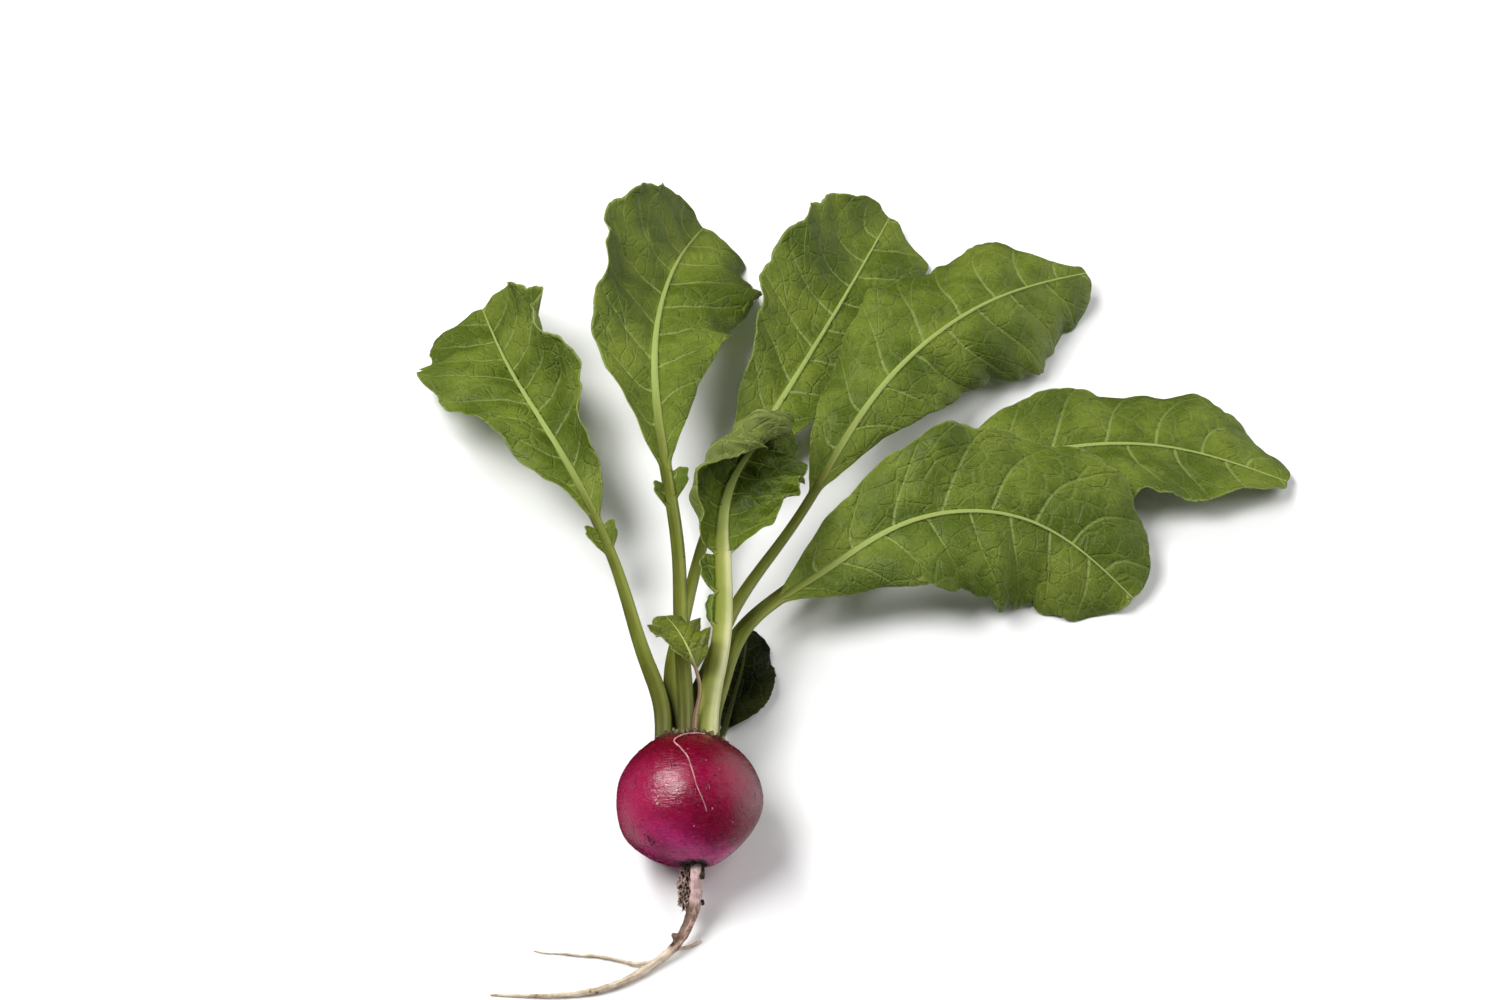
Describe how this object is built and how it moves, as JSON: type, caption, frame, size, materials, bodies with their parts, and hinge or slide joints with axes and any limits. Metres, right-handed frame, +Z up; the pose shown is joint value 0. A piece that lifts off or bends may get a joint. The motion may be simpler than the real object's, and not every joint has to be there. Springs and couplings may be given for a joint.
{
  "type": "purple radish with leaves",
  "caption": "Round purple radish root with its thin taproot and a rosette of long-stalked, wavy-edged green leaves, laid on its side.",
  "frame": {"origin": "centre of the small flat spot under the bulb, on the surface that the radish lies on", "axes": "+Z up, +Y from the taproot along the leaves towards their tips, +X to the right seen from the taproot end"},
  "size_m": [0.2364, 0.2575, 0.0466],
  "materials": {
    "skin": "satin crimson-purple radish skin, turning pinkish white and tan along the taproot",
    "leaf": "soft matt green leaf blade with paler veins and a pale yellow-green petiole",
    "young_leaf": "young yellow-green leaf blade on a purple-brown stalk",
    "dark_leaf": "dark olive leaf blade",
    "rootlet": "dry pinkish tan root fibre",
    "soil": "dry crumbly dark brown soil"
  },
  "bodies": {
    "root": {"root": "skin", "stray_rootlet": "rootlet", "soil_clod": "soil", "leaf_front": "leaf", "leaf_young": "young_leaf", "leaf_middle": "leaf", "leaf_left": "leaf", "leaf_low": "dark_leaf", "leaf_right": "leaf", "leaf_far_right": "leaf", "leaf_back": "leaf", "leaf_low_right": "leaf"}
  },
  "joints": []
}
